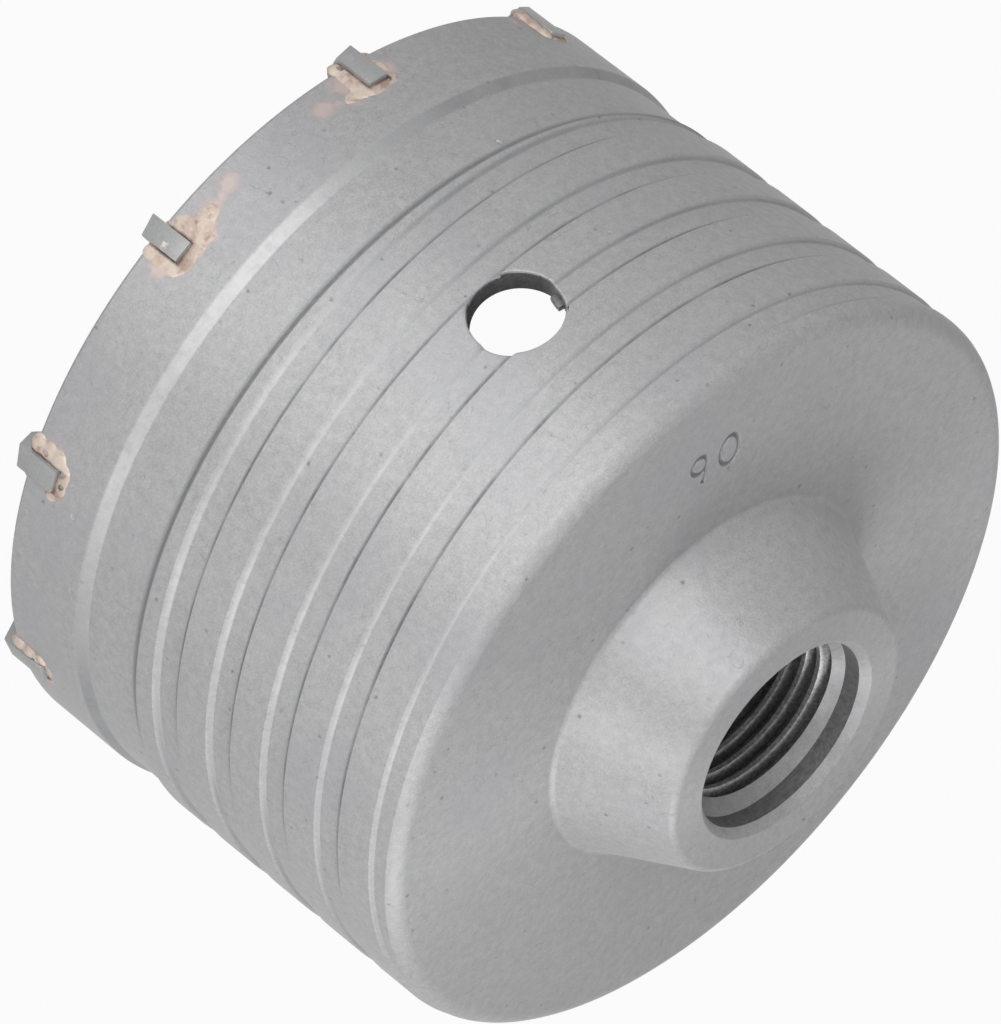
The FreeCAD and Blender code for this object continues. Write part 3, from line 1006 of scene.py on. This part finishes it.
def drilled_steel():
    """Steel as the drill and counterbore left it, out of the blast's reach: darker, with faint feed rings."""
    material, tree, shader = new_material("drilled_steel")
    place = add_node(tree, "TexCoord").outputs["Object"]
    rings = add_node(tree, "Mapping", {"Vector": place, "Scale": (0.15, 1, 1)})
    grain = add_node(tree, "TexNoise", {"Vector": place, "Scale": per_mm(0.4), "Detail": 3})
    feed = add_node(tree, "TexNoise", {"Vector": rings, "Scale": per_mm(0.35), "Detail": 2})
    grain_share = add_node(tree, "MapRange", (grain, 0.3, 0.7, 0, 0.5))
    feed_share = add_node(tree, "MapRange", (feed, 0.3, 0.7, 0, 0.5))
    shade = add_node(tree, "Math", (grain_share, feed_share), operation="ADD")
    colour = add_node(tree, "Mix", {0: shade, 6: srgb("#676769"), 7: srgb("#8A8A8B")}, data_type="RGBA")
    tree.links.new(colour.outputs[2], shader.inputs["Base Color"])
    shader.inputs["Metallic"].default_value = 0.4
    rough = add_node(tree, "MapRange", (grain, 0.3, 0.7, 0.42, 0.6))
    tree.links.new(rough.outputs[0], shader.inputs["Roughness"])
    bump = add_node(tree, "Bump", {"Height": feed, "Strength": 0.4, "Distance": 0.03 * MM})
    tree.links.new(bump.outputs[0], shader.inputs["Normal"])
    return material


def ground_carbide():
    """Sintered tungsten carbide, ground: dense dull grey, finely lined, with pale smears of braze."""
    material, tree, shader = new_material("ground_carbide")
    place = add_node(tree, "TexCoord").outputs["Object"]
    grain = add_node(tree, "TexNoise", {"Vector": place, "Scale": per_mm(0.25), "Detail": 3})
    # Grinding lines are finer than the render shows, so they are drawn 0.12 mm apart
    parts = add_node(tree, "SeparateXYZ", (place,)).outputs
    across = add_node(tree, "Math", (parts[2], per_mm(0.12)), operation="MULTIPLY")
    lines = add_node(tree, "TexNoise", {"W": across, "Scale": 1, "Detail": 1}, noise_dimensions="1D")
    grain_share = add_node(tree, "MapRange", (grain, 0.3, 0.7, 0, 0.6))
    line_share = add_node(tree, "MapRange", (lines, 0.3, 0.7, 0, 0.4))
    shade = add_node(tree, "Math", (grain_share, line_share), operation="ADD")
    colour = add_node(tree, "Mix", {0: shade, 6: srgb("#999A9A"), 7: srgb("#ACACAC")}, data_type="RGBA")
    ragged = add_node(tree, "TexNoise", {"Vector": place, "Scale": per_mm(1.3), "Detail": 3, "Roughness": 0.6})
    smear = add_node(tree, "MapRange", (ragged, 0.6, 0.7, 0, 0.55))
    colour = add_node(tree, "Mix", {0: smear, 6: colour, 7: srgb("#BBB0AE")}, data_type="RGBA")
    nick, turn = beside_tooth(NICK[0], NICK[1], TOOTH_OUTER)
    nick.rotate(Matrix.Rotation(tooth_angle(1), 3, "Z"))
    off_nick = add_node(tree, "Math", (grain, -1.2, nearest_of(tree, place, [nick])), operation="MULTIPLY_ADD")
    chipped = add_node(tree, "MapRange", (off_nick, -0.4, -0.2, 0.85, 0))
    colour = add_node(tree, "Mix", {0: chipped, 6: colour, 7: srgb("#E2D9D6")}, data_type="RGBA")
    tree.links.new(colour.outputs[2], shader.inputs["Base Color"])
    shader.inputs["Metallic"].default_value = 0.5
    rough = add_node(tree, "MapRange", (grain, 0.3, 0.7, 0.4, 0.52))
    tree.links.new(rough.outputs[0], shader.inputs["Roughness"])
    surface = add_node(tree, "Math", (lines, 0.6, grain), operation="MULTIPLY_ADD")
    bump = add_node(tree, "Bump", {"Height": surface, "Strength": 0.3, "Distance": 0.02 * MM})
    tree.links.new(bump.outputs[0], shader.inputs["Normal"])
    return material


def silver_braze():
    """Brazing alloy with blasted flux on it: cream to peach, pinkish, and brown beside the tooth."""
    material, tree, shader = new_material("silver_braze")
    place = add_node(tree, "TexCoord").outputs["Object"]
    grain = add_node(tree, "TexNoise", {"Vector": place, "Scale": per_mm(0.3), "Detail": 3})
    patches = add_node(tree, "TexNoise", {"Vector": place, "Scale": per_mm(1.8), "Detail": 2})
    ragged = add_node(tree, "TexNoise", {"Vector": place, "Scale": per_mm(0.9), "Detail": 3, "Roughness": 0.6})
    height, angle = turned_place(tree, place)[1:]
    warm = add_node(tree, "MapRange", (patches, 0.46, 0.62))
    colour = add_node(tree, "Mix", {0: warm, 6: srgb("#DACBBC"), 7: srgb("#CDB8AC")}, data_type="RGBA")
    pale = add_node(tree, "MapRange", (grain, 0.5, 0.72, 0, 0.5))
    colour = add_node(tree, "Mix", {0: pale, 6: colour, 7: srgb("#E6DCD0")}, data_type="RGBA")
    burnt = add_node(tree, "MapRange", (ragged, 0.54, 0.7, 0, 0.65))
    colour = add_node(tree, "Mix", {0: burnt, 6: colour, 7: srgb("#9C7F6E")}, data_type="RGBA")

    # Burnt flux in the seam along the tooth's sides
    sector = math.radians(TOOTH_STEP)
    turns = add_node(tree, "Math", (angle, tooth_angle(1)), operation="SUBTRACT")
    turns = add_node(tree, "Math", (turns, sector), operation="DIVIDE")
    beside = add_node(tree, "Math", (turns, 0.5), operation="PINGPONG")
    beside = add_node(tree, "Math", (beside, sector * RIM_RADIUS), operation="MULTIPLY")
    seam = all_of(
        tree, add_node(tree, "MapRange", (beside, 1.38, 1.62, 1, 0)),
        add_node(tree, "MapRange", (height, 7.0, 7.3, 1, 0.4)),
        add_node(tree, "MapRange", (patches, 0.35, 0.6, 0.5, 0.95)),
    )
    colour = add_node(tree, "Mix", {0: seam, 6: colour, 7: srgb("#76594F")}, data_type="RGBA")

    # Dark inside the blow holes
    holes = [(number, side, up) for number, pits in BLOW_HOLES.items() for side, up, size in pits]
    hollow = add_node(tree, "MapRange", (nearest_of(tree, place, film_points(holes)), 0.25, 0.45, 0.9, 0))
    colour = add_node(tree, "Mix", {0: hollow, 6: colour, 7: srgb("#4E3A33")}, data_type="RGBA")
    tree.links.new(colour.outputs[2], shader.inputs["Base Color"])
    shader.inputs["Metallic"].default_value = 0.15
    shader.inputs["Roughness"].default_value = 0.6
    bump = add_node(tree, "Bump", {"Height": grain, "Strength": 0.4, "Distance": 0.04 * MM})
    tree.links.new(bump.outputs[0], shader.inputs["Normal"])
    return material


# ---- camera, floor and light ----

CAMERA_TARGET = metres(-0.1999, -0.0828, 29.346)
CAMERA_DISTANCE = 1002.9
CAMERA_AZIMUTH = math.radians(-67.5)
CAMERA_ELEVATION = math.radians(28.937)
CAMERA_ROLL = math.radians(128.246)
LENS = 339.2
SENSOR = 36.0
LAMP_TARGET = metres(0, 0, 45)
# Name, turn from the camera's side and elevation in degrees, distance and size in mm, watts
LAMPS = (
    ("low_key", 5, 8, 280, 120, 0.25),
    ("low_side", -20, 8, 280, 120, 0.26),
    ("high_side", 60, 28, 280, 120, 0.205),
    ("back_fill", 120, 38, 900, 300, 2.4),
)
ROOM_LIGHT = 0.24
# Share of white that the eye sees on the floor. The rest is paper, and takes the shadow
FLOOR_WHITE = 0.96


def make_camera():
    """Long-lens camera above the saw, rolled as in the photo."""
    back = Vector((
        math.cos(CAMERA_ELEVATION) * math.cos(CAMERA_AZIMUTH),
        math.cos(CAMERA_ELEVATION) * math.sin(CAMERA_AZIMUTH),
        math.sin(CAMERA_ELEVATION),
    ))
    bpy.ops.object.camera_add(location=CAMERA_TARGET + back * CAMERA_DISTANCE * MM)
    camera = bpy.context.object
    level = back.to_track_quat("Z", "Y").to_matrix()
    camera.rotation_euler = (level @ Matrix.Rotation(CAMERA_ROLL, 3, "Z")).to_euler()
    camera.data.lens = LENS
    camera.data.sensor_width = SENSOR
    camera.data.clip_start = 0.05
    camera.data.clip_end = 20
    bpy.context.scene.camera = camera


def softbox(name, turn, elevation, distance, size, watts):
    """Square lamp that faces the saw, turned from the camera's side and raised."""
    turn = CAMERA_AZIMUTH + math.radians(turn)
    elevation = math.radians(elevation)
    toward = Vector((
        math.cos(elevation) * math.cos(turn), math.cos(elevation) * math.sin(turn), math.sin(elevation)
    ))
    bpy.ops.object.light_add(type="AREA", location=LAMP_TARGET + toward * distance * MM)
    lamp = bpy.context.object
    lamp.name = name
    lamp.rotation_euler = toward.to_track_quat("Z", "Y").to_euler()
    lamp.data.shape = "SQUARE"
    lamp.data.size = size * MM
    lamp.data.energy = watts
    lamp.visible_camera = False


def straight_to_eye(tree):
    """1 for rays from the camera and for rays mirrored or let through to it."""
    path = add_node(tree, "LightPath").outputs
    near = add_node(tree, "Math", (path["Is Camera Ray"], path["Is Glossy Ray"]), operation="MAXIMUM")
    return add_node(tree, "Math", (near, path["Is Transmission Ray"]), operation="MAXIMUM")


def make_floor():
    """White studio floor that fills the view and keeps a faint shadow."""
    bpy.ops.object.select_all(action="DESELECT")
    bpy.ops.mesh.primitive_plane_add(size=8, location=(0, 0, 0))
    floor = bpy.context.object
    floor.name = "studio_floor"
    material = bpy.data.materials.new("studio_floor")
    material.use_nodes = True
    tree = material.node_tree
    tree.nodes.clear()
    paper = add_node(tree, "BsdfDiffuse", {"Color": srgb("#707070")})
    glow = add_node(tree, "Emission", {"Color": (1, 1, 1, 1), "Strength": 1.0})
    share = add_node(tree, "Math", (straight_to_eye(tree), FLOOR_WHITE), operation="MULTIPLY")
    mix = add_node(tree, "MixShader", (share, paper, glow))
    add_node(tree, "OutputMaterial", (mix,))
    floor.data.materials.append(material)


def make_world(strength):
    """Plain grey room, white where the eye looks past the floor or sees the room mirrored."""
    world = bpy.data.worlds.new("studio")
    bpy.context.scene.world = world
    world.use_nodes = True
    tree = world.node_tree
    tree.nodes.clear()
    room = add_node(tree, "Background", {"Color": (1, 1, 1, 1), "Strength": strength})
    white = add_node(tree, "Background", {"Color": (1, 1, 1, 1), "Strength": 1.0})
    mix = add_node(tree, "MixShader", (straight_to_eye(tree), room, white))
    add_node(tree, "OutputWorld", (mix,))


# ---- the scene ----

make_camera()
for lamp in LAMPS:
    softbox(*lamp)
make_world(ROOM_LIGHT)
make_floor()

steel = blasted_steel()
carbide = ground_carbide()
braze_metal = silver_braze()

cup = make_cup()
for finish in (steel, cut_thread(), drilled_steel()):
    cup.data.materials.append(finish)
for face in cup.data.polygons:
    face.material_index = cup_finish(face)
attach(cup, "root")
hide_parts("cup_body")

pattern = make_tooth()
for number in range(1, TOOTH_COUNT + 1):
    tooth = copy_round(pattern, tooth_angle(number))
    finished(tooth, "ground_tooth_%02d" % number)
    tooth.data.materials.append(carbide)
    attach(tooth, "root")
    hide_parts("carbide_tooth_%02d" % number)

    braze = make_braze(number)
    braze.data.materials.append(braze_metal)
    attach(braze, "root")
    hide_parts("braze_seam_%02d" % number)
remove(pattern)

bpy.context.scene.view_settings.view_transform = "Standard"
